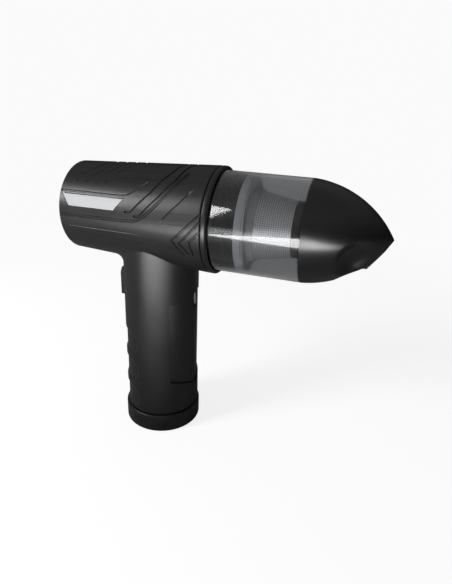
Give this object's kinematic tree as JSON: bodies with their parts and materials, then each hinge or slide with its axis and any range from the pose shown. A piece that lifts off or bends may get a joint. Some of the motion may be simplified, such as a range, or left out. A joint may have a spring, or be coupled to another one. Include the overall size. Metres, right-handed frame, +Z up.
{
  "type": "cordless handheld vacuum blower",
  "caption": "Pistol-shaped cordless hand vacuum and blower with a clear dust cup, an ogive crevice nozzle and a round upright handle it stands on.",
  "frame": {"origin": "centre of the flat base of the handle's end cap, on the surface that the object stands on", "axes": "+X along the barrel towards the nozzle, +Y to the left when looking along +X, +Z up along the handle"},
  "size_m": [0.1953, 0.0646, 0.1813],
  "materials": {
    "shell_black": "fine satin moulded texture",
    "panel_black": "matte moulded texture",
    "trim_black": "satin",
    "button_black": "satin",
    "nozzle_black": "smooth satin",
    "badge_silver": "brushed",
    "smoked_clear": "polished clear smoke",
    "filter_cloth": "pleated filter paper",
    "wire_mesh": "fine woven wire",
    "filter_plastic": "satin",
    "rubber_black": "matte",
    "steel": "brushed",
    "bronze": "sintered",
    "copper": "enamelled wire",
    "magnet": "sintered",
    "inner_black": "moulded",
    "inner_white": "moulded",
    "impeller_grey": "moulded",
    "circuit_green": "solder mask",
    "lead_red": "insulated wire",
    "cell_wrap": "shrink wrap on a metal can"
  },
  "bodies": {
    "body": {"right_shell": "shell_black", "left_shell": "shell_black", "front_ring": "trim_black", "rear_cap": "trim_black", "outlet_grille": "trim_black", "badge_plate": "badge_silver", "grip_panel": "panel_black", "end_cap": "panel_black", "shell_screws": "steel", "switch_body": "inner_black", "switch_board": "circuit_green", "charge_board": "circuit_green", "charge_port": "steel", "power_leads": "lead_red", "motor_leads": "lead_red", "battery_cells": "cell_wrap", "battery_holder": "inner_black", "cell_links": "steel", "motor_can": "steel", "motor_end_cap": "inner_white", "motor_magnets": "magnet", "motor_bearings": "bronze", "motor_screws": "steel", "motor_cradle": "rubber_black", "diffuser": "inner_black", "fan_housing": "inner_black", "filter_seat": "trim_black", "seal_ring": "rubber_black"},
    "button": {"power_button": "button_black", "switch_plunger": "inner_white"},
    "rotor": {"motor_shaft": "steel", "armature_core": "steel", "armature_windings": "copper", "impeller": "impeller_grey"},
    "cup": {"dust_cup": "smoked_clear", "nozzle": "nozzle_black", "valve_seat": "inner_black", "flap_pin": "steel"},
    "flap": {"flap_valve": "rubber_black"},
    "filter": {"filter_frame": "filter_plastic", "filter_pleats": "filter_cloth", "filter_mesh": "wire_mesh", "filter_end_cap": "rubber_black"}
  },
  "joints": [
    {"name": "button_press", "type": "slide", "parent": "body", "child": "button", "axis": [1, 0, 0], "range_m": [0, 0.0015], "stiffness_N_per_m": 700},
    {"name": "fan_spin", "type": "hinge", "parent": "body", "child": "rotor", "pos_m": [0, 0, 0.149], "axis": [1, 0, 0], "continuous": true},
    {"name": "cup_pull", "type": "slide", "parent": "body", "child": "cup", "axis": [1, 0, 0], "range_m": [0, 0.055]},
    {"name": "flap_swing", "type": "hinge", "parent": "cup", "child": "flap", "pos_m": [0.11988, 0, 0.16139], "axis": [0, 1, 0], "range_deg": [0, 50]},
    {"name": "filter_pull", "type": "slide", "parent": "body", "child": "filter", "axis": [1, 0, 0], "range_m": [0, 0.009]}
  ]
}
